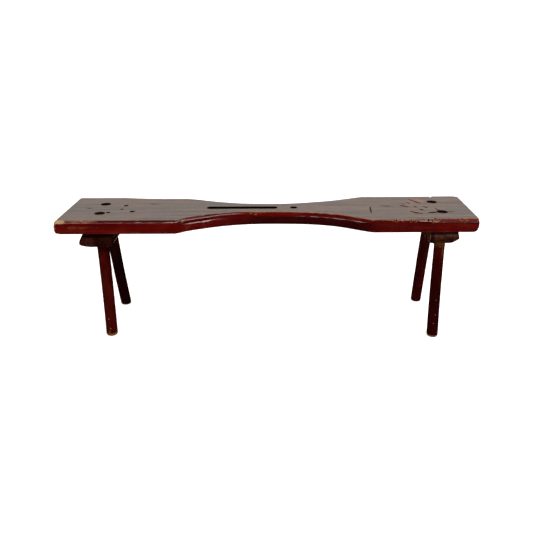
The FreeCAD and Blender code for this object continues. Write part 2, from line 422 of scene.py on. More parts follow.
PLANK_WOOD = varnished_wood("oxblood_varnish", "X", (0.055, 0.0007, 0.0005), (0.098, 0.0014, 0.0008),
                            (0.150, 0.0090, 0.0020), (0.20, 0.064, 0.020))
CLEAT_WOOD = varnished_wood("brown_varnish", "Y", (0.010, 0.002, 0.0015), (0.044, 0.009, 0.005),
                            (0.110, 0.032, 0.010), (0.18, 0.062, 0.026))
LEG_WOOD = varnished_wood("maroon_varnish", "Z", (0.020, 0.0005, 0.0004), (0.048, 0.0008, 0.0006),
                          (0.080, 0.0035, 0.0014), (0.26, 0.092, 0.014))
# Near-black walls: painted shade in the deep slot and the peg hole.
SHADED_SLOT_WALL = raw_wood("slot_wall_painted_shade", "Z", (0.0006, 0.0003, 0.0003), (0.003, 0.001, 0.0008), 0.95, 0.02)
HOLE_WALL = raw_wood("hole_wall", "Z", (0.0030, 0.001, 0.0008), (0.018, 0.005, 0.003), 0.9, 0.05)
CHIP_WOOD = raw_wood("chipped_wood", "X", (0.08, 0.025, 0.008), (0.36, 0.18, 0.065), 0.7, 0.2)
SCRATCH_WOOD = raw_wood("scratched_varnish", "X", (0.008, 0.003, 0.002), (0.040, 0.014, 0.008), 0.7, 0.1)
END_GRAIN = raw_wood("dark_end_grain", "Z", (0.016, 0.005, 0.003), (0.060, 0.020, 0.012), 0.8, 0.2)
IRON = old_iron("old_iron")


# ---- the plank ----

# Lines run along the plank's edge, and a profile says where they are, as (depth under the seat, inset)
# rows in millimetres. It is a plain worn bevel at the ends, and a deep two-step shaving in the waist.
END_PROFILE = [(0, 7.5), (1.0, 6.2), (3.0, 4.4), (5.0, 2.6), (7.0, 0.9), (7.7, 0.5), (8.5, 0.2),
               (9.2, 0.1), (10.0, 0.0), (22.0, 0.0), (43.5, 0.3), (45.0, 1.8)]
LEFT_END_PROFILE = [(0, 13.5), (0.7, 12.6), (2.6, 10.6), (4.4, 8.8), (5.6, 7.7), (6.0, 7.4), (6.6, 7.0),
                    (8.0, 6.0), (8.8, 5.6), (22.0, 1.5), (43.5, 0.3), (45.0, 1.8)]
LEFT_PROFILE = [(0, 21.5), (0.8, 20.6), (6.0, 15.6), (7.6, 7.6), (8.0, 7.2), (15.6, 6.4), (16.4, 6.2),
                (20.2, 4.1), (21.2, 3.7), (28.0, 1.9), (40.0, 1.3), (45.0, 4.5)]
LEFT_WAIST_PROFILE = [(0, 15.0), (0.8, 14.2), (3.8, 11.8), (5.2, 6.6), (5.6, 6.2), (13.0, 4.6), (14.0, 4.3),
                      (18.0, 2.7), (19.5, 2.2), (27.0, 0.5), (38.0, 1.0), (45.0, 5.0)]
MIDDLE_PROFILE = [(0, 10.0), (0.8, 7.8), (2.0, 6.6), (8.0, 4.7), (12.5, 3.3), (13.5, 2.9), (14.5, 2.5),
                  (17.0, 1.6), (18.5, 1.0), (23.0, 0.0), (31.0, 0.8), (45.0, 5.5)]
RIGHT_WAIST_PROFILE = [(0, 9.0), (1.0, 6.8), (2.5, 5.8), (6.5, 4.6), (10.5, 3.4), (12.2, 2.9), (13.2, 2.6),
                       (15.2, 1.4), (16.2, 1.1), (20.0, 0.0), (30.0, 0.8), (45.0, 7.0)]
RIGHT_PROFILE = [(0, 8.0), (1.0, 6.0), (2.5, 5.0), (6.0, 4.0), (9.5, 3.0), (10.8, 2.6), (11.6, 2.4),
                 (13.8, 1.1), (14.8, 0.8), (19.0, 0.0), (27.0, 0.4), (45.0, 6.0)]
SHARP_PROFILE = [(0, 3.5), (0.7, 2.5), (1.6, 1.6), (2.6, 0.9), (3.6, 0.4), (4.4, 0.2), (5.2, 0.1),
                 (6.0, 0.0), (10.0, 0.0), (22.0, 0.0), (43.5, 0.3), (45.0, 1.8)]
RIGHT_END_PROFILE = [(0, 16.0), (1.0, 14.0), (3.2, 10.8), (5.6, 7.8), (8.0, 5.2), (9.8, 3.3), (11.2, 1.9),
                     (11.6, 1.9), (13.6, 1.7), (22.0, 0.8), (43.5, 0.3), (45.0, 1.8)]
# Where along X the front edge has each profile. It changes evenly in between.
FRONT_PROFILES = [
    (-0.500, LEFT_END_PROFILE), (-0.292, LEFT_END_PROFILE), (-0.277, LEFT_PROFILE), (-0.205, LEFT_PROFILE),
    (-0.165, LEFT_WAIST_PROFILE), (-0.110, LEFT_WAIST_PROFILE), (-0.030, MIDDLE_PROFILE),
    (0.080, MIDDLE_PROFILE), (0.160, RIGHT_WAIST_PROFILE), (0.245, RIGHT_WAIST_PROFILE),
    (0.325, RIGHT_PROFILE), (0.350, SHARP_PROFILE), (0.480, SHARP_PROFILE), (0.600, RIGHT_END_PROFILE),
]
ROW_PARTS = (1, 2, 2, 1, 2, 1, 2, 1, 3, 4, 3)  # how many parts each gap between rows is meshed in
SIDE_COUNT = sum(ROW_PARTS) + 1
LOWER_EDGE_ROW = 6  # the row where the shaving ends and the plain side begins
# How unevenly the front edge's lines were cut, in millimetres, at places in X.
CHATTER = [(-0.30, 0.34), (-0.28, 0.10), (0.0, 0.10), (0.12, 0.38), (0.33, 0.38), (0.40, 0.30)]
MEASURED_DEPTH = 24 * MM  # where the plank's side stands furthest out
LEFT_ROUNDING, RIGHT_ROUNDING = 4.0, 9.0  # how far the lower corners at the two ends are worn off
TOP_EDGE_OFFSETS = (0.0, 1.6, 3.6, 6.5, 10.5)
TOP_MIDDLE_COUNT = 46
PLANK_SHARP_ANGLE = 28
HALF_WIDTH = (PLANK_HIGH.y - PLANK_LOW.y) / 2
RAY_SHARE = 0.9995  # rays towards the long edges start just inside the plank's ends, so that they hit
FRONT_LINE = []  # (X, Y) along the front edge, filled in as the rings are made


def side_points(rows):
    """A profile's rows with more points between them, always equally many."""
    points = rows[:1]
    for (d0, n0), (d1, n1), parts in zip(rows, rows[1:], ROW_PARTS):
        points += [(lerp(d0, d1, k / parts), lerp(n0, n1, k / parts)) for k in range(1, parts + 1)]
    return points


def front_rows(x):
    """The front edge's profile at x, between its neighbouring profiles."""
    left, right, share = neighbours(FRONT_PROFILES, x)
    return [(lerp(d0, d1, share), lerp(n0, n1, share)) for (d0, n0), (d1, n1) in zip(left, right)]


def depth_range(end_distance, profile):
    """The first and last depth that the plank reaches at this distance from its end."""
    total = THICKNESS / MM
    first, last = 0.0, total
    for step in range(120):
        depth = step * 0.1
        if table_value(profile, depth) * MM > end_distance:
            first = depth
        if table_value(profile, total - depth) * MM > end_distance:
            last = total - depth
    return first, last


def row_across(low, high):
    """Places across a row, closer together near its two ends."""
    offsets = [o * MM for o in TOP_EDGE_OFFSETS]
    near = low + offsets[-1]
    far = high - offsets[-1]
    middle = [lerp(near, far, i / (TOP_MIDDLE_COUNT + 1)) for i in range(1, TOP_MIDDLE_COUNT + 1)]
    return [low + o for o in offsets] + middle + [high - o for o in reversed(offsets)]


SLANT_SPAN = 0.12  # how far in front of and behind the centre line an end's slant is measured


def end_slants(tree):
    """For each end of the plank, X on the centre line and how much X changes with Y."""
    slants = {}
    for sign in (-1, 1):
        hits = [tree.ray_cast(Vector((2 * sign, y, SEAT - MEASURED_DEPTH)), Vector((-sign, 0, 0)))[0]
                for y in (-SLANT_SPAN, SLANT_SPAN)]
        slants[sign] = ((hits[0].x + hits[1].x) / 2, (hits[1].x - hits[0].x) / (2 * SLANT_SPAN))
    return slants


def chatter(x, depth_mm):
    """How unevenly the tool cut the front edge's lines, in millimetres."""
    lines = soft_box(2.5, 24, 2, depth_mm)
    cuts = ripple(Vector((x, 0, depth_mm * MM)), (0.016, 1.0, 0.0035), 5.0)
    return lines * table_value(CHATTER, x) * (1 + cuts)


def plank_rings():
    """Rings across the plank. Near each end they turn a little, to lie along its slanting cut."""
    tree = tree_of("seat_plank")
    slants = end_slants(tree)
    z = SEAT - MEASURED_DEPTH
    rings = []
    for station in end_stations(-HALF_LENGTH, HALF_LENGTH):
        sign = -1 if station < 0 else 1
        end_x, slant = slants[sign]
        turned = smoothstep(0.5, HALF_LENGTH, abs(station))

        def at(y, height):
            return Vector((station + turned * (end_x + slant * y - sign * HALF_LENGTH), y, height))

        front = tree.ray_cast(Vector((at(-HALF_WIDTH, 0).x * RAY_SHARE, -1, z)), BACKWARD)[0].y
        back = tree.ray_cast(Vector((at(HALF_WIDTH, 0).x * RAY_SHARE, 1, z)), -BACKWARD)[0].y
        first, last = depth_range(HALF_LENGTH - abs(station), END_PROFILE if station < 0 else SHARP_PROFILE)
        squeeze = (last - first) * MM / THICKNESS
        front_edge = [(front + (inset + chatter(station, depth)) * MM, SEAT - (first + squeeze * depth) * MM)
                      for depth, inset in side_points(front_rows(station))]
        back_edge = [(back - inset * MM, SEAT - (first + squeeze * depth) * MM)
                     for depth, inset in side_points(END_PROFILE)]
        top, bottom = [[at(y, front_edge[row][1]) for y in row_across(front_edge[row][0], back_edge[row][0])]
                       for row in (0, -1)]
        down = [at(*place) for place in back_edge[1:-1]]
        up = [at(*place) for place in front_edge[1:-1]]
        rings.append(top + down + bottom[::-1] + up[::-1])
        FRONT_LINE.append((station, front))
    return rings


def plank_wear(p, normal):
    """Hand-planed hollows on the seat, hewn flats on the sides, and knocks along the edges."""
    flat = abs(normal.z)
    hollow = 0.25 + 0.25 * ripple(p, (0.16, 0.06, 1.0), 3.1)
    hewn = 0.5 + 0.5 * ripple(p, (0.09, 0.2, 0.022), 7.7)
    corner = smoothstep(0.2, 0.75, 1 - abs(2 * flat - 1))
    knocks = max(ripple(p, (0.022, 0.05, 0.02), 1.3), 0.0) ** 2
    near_end = smoothstep(HALF_LENGTH - 26 * MM, HALF_LENGTH, abs(p.x))
    low_corner = (near_end * fade(0, 20, (p.z - UNDERSIDE) / MM)) ** 1.5
    rounding = low_corner * (RIGHT_ROUNDING if p.x > 0 else LEFT_ROUNDING)
    return MM * (hollow * flat + 0.5 * hewn * (1 - flat) + 1.8 * knocks * corner + rounding)


# ---- what is cut into the plank ----


def round_directions(count):
    """(angle, direction) pairs round a circle."""
    angles = [2 * math.pi * i / count for i in range(count)]
    return [(a, Vector((math.cos(a), math.sin(a), 0))) for a in angles]


def bar_rings(bottom, top, radius_at, sides, seed, rough):
    """Rings up a slanting round bar whose radius changes with height and wobbles a little."""
    rings = []
    for z, radius in radius_at:
        share = (z - bottom.z) / (top.z - bottom.z)
        centre = bottom.lerp(top, share)
        ring = []
        for _, direction in round_directions(sides):
            wobble = ripple(direction * 0.3 + UP * z, (0.2, 0.2, 0.03), seed)
            ring.append(centre + direction * (radius + rough * (0.5 + 0.5 * wobble)))
        rings.append(ring)
    return rings


def stadium(x0, x1, y, half, count):
    """Points round a slot's outline with round ends."""
    points = []
    for centre_x, start in ((x1 - half, -0.5), (x0 + half, 0.5)):
        for i in range(count + 1):
            a = math.pi * (start + i / count)
            points.append(Vector((centre_x + half * math.cos(a), y + half * math.sin(a), 0)))
    return points


def densify(points, step):
    """A closed outline's points with more between them, about step apart."""
    out = []
    for a, b in zip(points, points[1:] + points[:1]):
        parts = max(round((b - a).length / step), 1)
        out += [a.lerp(b, i / parts) for i in range(parts)]
    return out


def leg_ends(name):
    """The middle and the radius of a leg's foot and of its tenon's end, measured on its CAD node."""
    ends = []
    vertices = [v.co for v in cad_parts[name + "_leg"].data.vertices]
    for z in (0.0, max(v.z for v in vertices)):
        rim = [v for v in vertices if abs(v.z - z) < 0.02 * MM]
        low_x, high_x = min(v.x for v in rim), max(v.x for v in rim)
        low_y, high_y = min(v.y for v in rim), max(v.y for v in rim)
        ends.append((Vector(((low_x + high_x) / 2, (low_y + high_y) / 2, z)), (high_x - low_x) / 2))
    return ends


HOLE_CLEARANCE = 0.25 * MM
HOLE_ROUGHNESS = 0.3 * MM
HOLE_SIDES = 40
RIM_FLARE = ((-2.6, 0.0), (-1.2, 0.6), (0.0, 2.0), (3.0, 5.0))  # millimetres over the seat, and wider


def drill(obj, rings, material):
    """Cuts a round hole along rings out of obj."""
    cut(obj, new_object("drill", lathe_mesh(rings), material))


def flared_levels(radius):
    """A hole's (height, radius) rows, with its rim worn wider at the seat."""
    deep = [(UNDERSIDE - 8 * MM + i * 8 * MM, radius) for i in range(6)]
    return deep + [(SEAT + h * MM, radius + w * MM) for h, w in RIM_FLARE]


def cut_tenon_holes(plank):
    for i, name in enumerate(LEGS):
        (foot, _), (top, radius) = leg_ends(name)
        levels = flared_levels(radius + HOLE_CLEARANCE)
        drill(plank, bar_rings(foot, top, levels, HOLE_SIDES, 5.0 + i, HOLE_ROUGHNESS), HOLE_WALL)


SLOT_START, SLOT_END = -0.210, 0.036
SLOT_Y = 0.002
SLOT_HALF = 0.0125  # half its width
PEG_HOLE = (0.094, 0.002, 0.0110)  # x, y and radius


def cut_slot(plank):
    outline = densify(stadium(SLOT_START, SLOT_END, SLOT_Y, SLOT_HALF, 10), 5 * MM)
    rings = []
    for z, half in flared_levels(SLOT_HALF):
        ring = []
        for p in outline:
            nearest = Vector((min(max(p.x, SLOT_START + SLOT_HALF), SLOT_END - SLOT_HALF), SLOT_Y, 0))
            away = (p - nearest).normalized()
            wobble = ripple(p + UP * z, (0.03, 0.03, 0.05), 11.0)
            ring.append(p + away * (half - SLOT_HALF + 0.6 * MM * wobble) + UP * z)
        rings.append(ring)
    cut(plank, new_object("slot_cutter", capped_mesh(rings), SHADED_SLOT_WALL))


def cut_peg_hole(plank):
    x, y, radius = PEG_HOLE
    bottom, top = Vector((x, y, UNDERSIDE)), Vector((x, y, SEAT))
    drill(plank, bar_rings(bottom, top, flared_levels(radius), 36, 2.0, HOLE_ROUGHNESS), SHADED_SLOT_WALL)


# ---- marks of use, and painted shade ----

# Small nail holes in the seat as (x, y, radius), in millimetres like all the marks here.
NAIL_HOLES = [(-503, 34, 8.5), (-466, -38, 9.0), (-547, -47, 7.5), (-508, -9, 5.5)]
# Gouges and cracks in the seat: points along each, its width and its depth.
GOUGES = [
    ([(514, 99), (523, 87), (534, 71), (543, 58), (553, 45)], 11.0, 1.5),
    ([(470, 24), (478, 15), (488, 9), (500, 3)], 14.0, 1.4),
    ([(498, 62), (508, 50), (512, 40)], 8.0, 1.0),
    ([(491, -45), (500, -60), (510, -69), (521, -73), (531, -75)], 14.0, 1.8),
    ([(515, 20), (521, 2), (524, -12)], 8.0, 1.0),
    ([(543, 8), (556, -2), (560, -16)], 8.0, 1.0),
    ([(570, 78), (586, 66), (592, 58)], 7.0, 0.8),
    ([(395, 20), (422, 12), (446, 14)], 9.0, 0.8),
    ([(364, 14), (360, -20), (357, -50), (356, -75)], 7.0, 1.4),
    ([(-640, 10), (-622, 2), (-610, 3)], 7.0, 0.7),
    ([(-430, 60), (-404, 52), (-380, 55)], 7.0, 0.7),
    ([(528, -20), (536, -33), (541, -40)], 8.0, 1.0),
    ([(480, 46), (488, 40), (496, 36)], 8.0, 1.0),
]
CRACKS = [
    ([(545, -68), (562, -66), (580, -61), (598, -58), (614, -56)], 13.0, 7.0),
    ([(584, -12), (587, -24), (592, -38), (600, -52), (604, -58)], 5.0, 5.0),
    ([(590, -60), (606, -58), (622, -59), (644, -57)], 8.0, 7.0),
    ([(590, 56), (612, 57), (622, 58), (632, 57)], 4.0, 4.0),
]
# Chips out of the front arris: x, depth under the seat, and size along the bench, inwards and down.
CHIPS = [
    (403, 1.0, 5, 4, 2), (416, 1.5, 6, 5, 3), (424, 3.0, 2, 3, 4), (438, 1.5, 5, 4, 2), (452, 2.0, 3, 3, 2),
    (473, 2.0, 5, 4, 2), (483, 2.0, 3, 4, 3), (493, 3.0, 3, 4, 4), (526, 1.5, 6, 6, 2), (540, 3.0, 5, 5, 3),
    (557, 1.5, 8, 8, 3), (549, 7.0, 3, 4, 5), (569, 3.0, 4, 5, 3), (643, 3.0, 4, 5, 4), (662, 4.5, 4, 4, 2),
    (-598, 1.0, 6, 3, 2), (-430, 1.0, 4, 2, 2), (-284, 3.0, 5, 5, 4), (-55, 5.0, 3, 2, 2),
    (-38, 9.0, 4, 2, 2), (-22, 4.0, 2, 2, 2), (-8, 2.0, 4, 3, 2), (35, 1.0, 3, 2, 2),
]
# Dark cuts across the same arris, given like the chips.
ARRIS_CUTS = [(426, 3.0, 2.5, 6, 4), (476, 3.5, 2, 5, 4), (490, 4.0, 2, 5, 4), (533, 3.5, 3, 6, 4),
              (545, 4.5, 2.5, 6, 5), (646, 3.0, 4, 5, 2)]
# The chip in the back edge: its place in X, in from the edge and under the seat, and its size.
BACK_CHIP = (605, 10, 2)
BACK_CHIP_SIZE = (6, 11, 9)
NAIL_HOLE_DEPTH = 6
NAIL_HOLE_LEVELS = ((-NAIL_HOLE_DEPTH, -0.6), (-2, -0.2), (0, 0.3), (3, 0.6))  # over the seat, and wider
TUBE_SIDES = 6


def set_material(verts, material_index):
    """Gives the faces round verts one of their object's materials."""
    for v in verts:
        for face in v.link_faces:
            face.material_index = material_index


def add_tube(bm, points, width, depth, material_index):
    """A flattened tube through points on the seat, fine at both its ends."""
    bends = [Vector((x * MM, y * MM, SEAT - 0.2 * MM)) for x, y in points]
    path = [a.lerp(b, k / 3) for a, b in zip(bends, bends[1:]) for k in range(3)] + [bends[-1]]
    rings = []
    for i, p in enumerate(path):
        ahead = path[min(i + 1, len(path) - 1)] - path[max(i - 1, 0)]
        across = Vector((-ahead.y, ahead.x, 0)).normalized()
        share = i / (len(path) - 1)
        size = 0.12 + 0.88 * math.sin(math.pi * share) ** 0.7
        size *= 1 + 0.35 * ripple(p, 0.012, width)
        half, deep = 0.5 * width * MM * size, depth * MM * size
        rings.append([p + across * (half * math.cos(a)) + UP * (deep * math.sin(a))
                      for a, _ in round_directions(TUBE_SIDES)])
    made = skin(bm, rings)
    for ring in (made[0], made[-1]):
        bm.faces.new(ring)
    set_material([v for ring in made for v in ring], material_index)


def add_chip(bm, centre, size, seed, material_index):
    """A rough lump that knocks a chip out of an arris."""
    made = bmesh.ops.create_icosphere(bm, subdivisions=2, radius=1.0)["verts"]
    for v in made:
        rough = 1 + 0.45 * noise.noise(v.co * 1.3 + Vector((seed, 0, -seed)))
        v.co = centre + Vector([MM * s * c * rough for s, c in zip(size, v.co)])
    set_material(made, material_index)


def add_arris_chip(bm, x, depth, size, material_index):
    """A chip in the front arris, at x and at a depth under the seat."""
    y = table_value(FRONT_LINE, x * MM) + table_value(front_rows(x * MM), depth) * MM
    add_chip(bm, Vector((x * MM, y, SEAT - depth * MM)), size, 0.13 * x, material_index)


def cut_marks(plank):
    """Neighbouring marks go into separate cuts, because the solids of one cut mustn't overlap."""
    bm = bmesh.new()
    for x, depth, *size in ARRIS_CUTS:
        add_arris_chip(bm, x, depth, size, 0)
    bmesh.ops.recalc_face_normals(bm, faces=bm.faces)
    cut(plank, new_object("arris_cuts", bm, HOLE_WALL))
    for turn in range(3):
        bm = bmesh.new()
        for points, width, depth in GOUGES[turn::3]:
            add_tube(bm, points, width, depth, 0)
        for points, width, depth in CRACKS[turn::3]:
            add_tube(bm, points, width, depth, 1)
        for x, depth, *size in CHIPS[turn::3]:
            add_arris_chip(bm, x, depth, size, 2)
        if turn == 0:
            x, inset, depth = BACK_CHIP
            centre = Vector((x * MM, PLANK_HIGH.y - inset * MM, SEAT - depth * MM))
            add_chip(bm, centre, BACK_CHIP_SIZE, 3.0, 1)
        bmesh.ops.recalc_face_normals(bm, faces=bm.faces)
        cut(plank, new_object("marks", bm, SCRATCH_WOOD, HOLE_WALL, CHIP_WOOD))
    for x, y, radius in NAIL_HOLES:
        base = Vector((x * MM, y * MM, SEAT - NAIL_HOLE_DEPTH * MM))
        levels = [(SEAT + h * MM, (radius + wider) * MM) for h, wider in NAIL_HOLE_LEVELS]
        drill(plank, bar_rings(base, base + UP * MM, levels, 14, 30.0 + x, 0.5 * MM), HOLE_WALL)


# Where the front edge is worn, or darkened by painted shade: X from and to, depth from and to, and how much.
FRONT_BARE = [
    # The strip from -706 to -701 runs down the near left corner: worn wood and partly a painted highlight.
    (-706, -674, -1, 10, 0.62), (-674, -662, -1, 8, 0.48), (-706, -701, -1, 30, 0.50),
    (-640, -560, -1, 4, 0.40), (-291, -277, -1, 12, 0.56), (404, 442, -1, 2, 0.36),
    (470, 500, -1, 3, 0.40), (524, 574, -1, 3, 0.44), (638, 648, -1, 8, 0.40),
]
FRONT_RUBBED = [
    (-706, -560, -1, 5, 0.70), (-560, -300, -1, 1.5, 0.65), (-560, -300, 1.5, 8, 0.15),
    (-300, -60, -1, 1.2, 0.78), (-60, 360, -1, 2, 0.65), (360, 430, -1, 1, 0.55), (430, 706, -1, 2, 0.55),
    (430, 706, 2, 11, 0.38), (-660, -560, 14, 40, 0.42), (-450, -420, 12, 45, 0.30),
    (-280, -190, 20, 36, 0.42),
]
# Painted shade: dark bands on the left bevels and between highlights, a painted shadow under the right end's
# lip, and a darker lower right side.
FRONT_SHADE = [
    (-640, -290, 0.6, 5.0, 0.70), (-275, -120, 1.5, 3.6, 0.60), (-290, -190, 9.5, 13, 0.50),
    (440, 700, 11.4, 13, 0.90), (350, 560, 12, 45, 0.22),
]
ZONE_SOFT_X, ZONE_SOFT_DEPTH = 6, 1.5  # over what length they fade out
WAIST_SHADE = ((-0.240, 0.020), (0.300, 0.420), 0.77)  # painted shade below the shaving: X where it comes in, where it goes, and how much
# Worn patches on the seat: x, y, half length, half width and how much.
SEAT_RUBBED = [
    (548, 78, 50, 40, 0.72), (505, 45, 60, 55, 0.52), (150, 20, 60, 25, 0.35), (-600, -20, 70, 60, 0.28),
    (330, 60, 60, 40, 0.38), (575, -90, 60, 30, 0.42), (500, -60, 60, 40, 0.44), (-560, 30, 60, 40, 0.36),
]
BACK_BARE = 0.30  # how much bare wood shows in places along the back arris


def front_zone(p, boxes):
    """How much the strongest of the boxes round p counts there."""
    inset = (p.y - table_value(FRONT_LINE, p.x)) / MM
    depth = (SEAT - p.z) / MM
    x = p.x / MM
    reach = fade(1.0, 4.0, inset - front_rows(p.x)[0][1])
    return max(reach * amount * soft_box(x0, x1, ZONE_SOFT_X, x) * soft_box(d0, d1, ZONE_SOFT_DEPTH, depth)
               for x0, x1, d0, d1, amount in boxes)


def plank_bare(p):
    """Bare wood along the arrises, in some places only; down the near left corner partly a painted highlight.
    """
    if p.y > 0:
        places = smoothstep(0.15, 0.6, ripple(p, (0.05, 1.0, 1.0), 8.0))
        return BACK_BARE * soft_box(-1, 4, 2, (SEAT - p.z) / MM) * places
    return front_zone(p, FRONT_BARE)


def plank_rubbed(p):
    """Worn patches on the seat and along the front edge."""
    worn = 0.0
    if p.z > SEAT - 3 * MM:
        for x, y, half_x, half_y, amount in SEAT_RUBBED:
            away = math.hypot((p.x / MM - x) / half_x, (p.y / MM - y) / half_y)
            worn = max(worn, amount * fade(0.3, 1.1, away))
    if p.y < 0:
        worn = max(worn, front_zone(p, FRONT_RUBBED))
    return worn


def plank_grime(p):
    """Painted shade on the front side, and in the waist below the shaving."""
    if p.y > 0:
        return 0.0
    (x0, x1), (x2, x3), amount = WAIST_SHADE
    arris = front_rows(p.x)[LOWER_EDGE_ROW][0]
    along = smoothstep(x0, x1, p.x) * fade(x2, x3, p.x)
    waist = along * smoothstep(arris - 3, arris + 5, (SEAT - p.z) / MM)
    return max(amount * waist, front_zone(p, FRONT_SHADE))


def plank_seat(p):
    """1 on the sitting surface and 0 below it."""
    return smoothstep(-1.6, -0.5, (p.z - SEAT) / MM)


def make_plank():
    columns = TOP_MIDDLE_COUNT + 2 * len(TOP_EDGE_OFFSETS)
    bm = ring_mesh(plank_rings(), columns, SIDE_COUNT - 2)
    wear_down(bm, plank_wear)
    plank = new_object("plank", bm, PLANK_WOOD)
    cut_tenon_holes(plank)
    cut_slot(plank)
    cut_peg_hole(plank)
    cut_marks(plank)
    finish_mesh(plank, PLANK_SHARP_ANGLE)
    paint(plank, seat=plank_seat, grime=plank_grime, rubbed=plank_rubbed, bare=plank_bare)
    return plank


# ---- cleats ----

CLEAT_ROWS = 14
CLEAT_COLUMNS = 30
# How far each cleat's front end is set back at each depth under the plank, in millimetres.
CLEAT_NOSES = {"left": [(0, 6), (14, 5), (32, 0), (54, 0)], "right": [(0, 9.5), (21, 0.5), (27, 0), (48, 5)]}
CLEAT_NOSE_LENGTH = 34 * MM
CLEAT_BULGE = {"left": -4.5, "right": 2.5}  # how far +X the outer side swells at half depth, in millimetres
CLEAT_SMOOTHING = {"left": 14, "right": 7}  # how often its corners are smoothed
CLEAT_SHADOW_DEPTHS = {"left": (14, 22), "right": (3, 8)}  # the depths where the painted shadow of the plank thins out
CLEAT_SHADE_STRIPS = {"left": (-0.580, -0.500), "right": (0.548, 0.556)}  # X from and to of a darker strip of painted shade on the front
# Painted light on the side facing the other cleat: its front lightened, and a painted highlight on its lower
# arris.
CLEAT_INNER_PAINTED_LIGHT = {"left": 0.0, "right": 0.56}
CLEAT_ARRIS_HIGHLIGHT = {"left": 0.72, "right": 0.0}


def cleat_rings(tree, low, high):
    """Sections across a cleat, from its front end to its back end, measured on its CAD node."""
    rings = []
    probes = [lerp(low.x, high.x, (i + 0.5) / 9) for i in range(9)]
    for y in end_stations(low.y, high.y):
        hits = [tree.ray_cast(Vector((x, y, -1)), UP)[0] for x in probes]
        floor = min(hit.z for hit in hits if hit)
        rows = []
        for k in range(CLEAT_ROWS + 2):
            z = lerp(high.z - 0.02 * MM, floor + 0.05 * MM, k / (CLEAT_ROWS + 1))
            left, right = [tree.ray_cast(Vector((2 * sign, y, z)), Vector((-sign, 0, 0)))[0].x
                           for sign in (-1, 1)]
            rows.append((left, right, z))
        top, bottom = [[Vector((lerp(left, right, i / (CLEAT_COLUMNS - 1)), y, z))
                        for i in range(CLEAT_COLUMNS)] for left, right, z in (rows[0], rows[-1])]
        down = [Vector((right, y, z)) for _, right, z in rows[1:-1]]
        up = [Vector((left, y, z)) for left, _, z in rows[1:-1]]
        rings.append(top + down + bottom[::-1] + up[::-1])
    return rings


def make_cleat(side, seed):
    """A cleat with its front end cut back, its outer side swelling, and all of it hewn."""
    node = side + "_cleat"
    low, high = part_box(node)
    tree = tree_of(node)

    def from_inner(x):
        """How far x is from the side that faces the other cleat."""
        return high.x - x if side == "left" else x - low.x

    bm = ring_mesh(cleat_rings(tree, low, high), CLEAT_COLUMNS, CLEAT_ROWS)
    for v in bm.verts:
        near_nose = fade(0, CLEAT_NOSE_LENGTH, v.co.y - low.y)
        v.co.y += near_nose * MM * table_value(CLEAT_NOSES[side], (high.z - v.co.z) / MM)
        outer = smoothstep(0.4, 1.0, from_inner(v.co.x) / (high.x - low.x))
        swell = math.sin(math.pi * (high.z - v.co.z) / (high.z - low.z)) * outer
        v.co.x += CLEAT_BULGE[side] * MM * swell
    for _ in range(CLEAT_SMOOTHING[side]):
        bmesh.ops.smooth_vert(bm, verts=[v for v in bm.verts if v.co.z < high.z - 1 * MM], factor=0.5,
                              use_axis_x=True, use_axis_y=True, use_axis_z=True)

    def hewn(p, normal):
        under = fade(0.7, 1.0, normal.z)
        facets = 0.5 + 0.5 * ripple(p, (0.045, 0.05, 0.03), seed)
        knocks = 0.5 + 0.5 * ripple(p, 0.013, seed + 4)
        return MM * under * (1.8 * facets + 0.5 * knocks)

    wear_down(bm, hewn)
    cleat = new_object(node + "_hewn", bm, CLEAT_WOOD)
    for name in LEGS:
        if name.endswith(side):
            (foot, _), (top, radius) = leg_ends(name)
            levels = [(low.z - 20 * MM + i * 10 * MM, radius + HOLE_CLEARANCE) for i in range(10)]
            drill(cleat, bar_rings(foot, top, levels, HOLE_SIDES, seed, 0.2 * MM), HOLE_WALL)
    finish_mesh(cleat)

    def rubbed(p):
        """Worn along the lower arris of its front. The lower arris of the side facing the other cleat has a
        painted highlight, and that side's front is lightened with painted light.
        """
        front = fade(low.y, low.y + 40 * MM, p.y)
        near_front = fade(low.y + 40 * MM, low.y + 160 * MM, p.y)
        near_inner = fade(4 * MM, 9 * MM, from_inner(p.x))
        arris = fade(low.z + 4 * MM, low.z + 10 * MM, p.z)
        inner_painted_light = CLEAT_INNER_PAINTED_LIGHT[side] * near_front * near_inner
        return max(arris * max(0.45 * front, 0.70 * near_inner), inner_painted_light)

    def grime(p):
        """Painted shadow close under the plank, and a darker strip of painted shade on the front."""
        near_front = fade(20 * MM, 40 * MM, p.y - low.y)
        shaded_strip = 0.8 * near_front * soft_box(*CLEAT_SHADE_STRIPS[side], 8 * MM, p.x)
        return max(shaded_strip, fade(*CLEAT_SHADOW_DEPTHS[side], (high.z - p.z) / MM))

    def bare(p):
        """A painted highlight in raw-wood colour along the lower arris that faces the other cleat,
        behind the front end.
        """
        inward = -1 if side == "left" else 1
        y = min(max(p.y, low.y + 3 * MM), high.y - 3 * MM)
        edge_x = tree.ray_cast(Vector((-2 * inward, y, low.z + 22 * MM)), Vector((inward, 0, 0)))[0].x
        floor = tree.ray_cast(Vector((edge_x + inward * 12 * MM, y, -1)), UP)[0].z
        arris = fade(floor + 11 * MM, floor + 18 * MM, p.z)
        near_edge = fade(7 * MM, 12 * MM, abs(p.x - edge_x))
        behind_front = smoothstep(low.y + 10 * MM, low.y + 35 * MM, p.y)
        return CLEAT_ARRIS_HIGHLIGHT[side] * arris * near_edge * behind_front

    paint(cleat, rubbed=rubbed, bare=bare, grime=grime)
    return cleat


# ---- legs ----

LEG_SIDES = 64
LEG_FACETING = 0.45  # from 0 for a round leg to 1 for flat facets
FOOT_ROUNDING, SHOULDER_ROUNDING = 2.4, 2.0
LEG_PROBE = 15 * MM  # how far from its two ends a leg's radius is measured
TENON_CLEARANCE = 0.15 * MM
END_GRAIN_DEPTH = 30 * MM
# How far each leg bends sideways between its foot and its shoulder, in millimetres.
LEG_BOWS = {"front_left": 1.3, "back_left": -2.0, "front_right": -1.6, "back_right": -1.0}
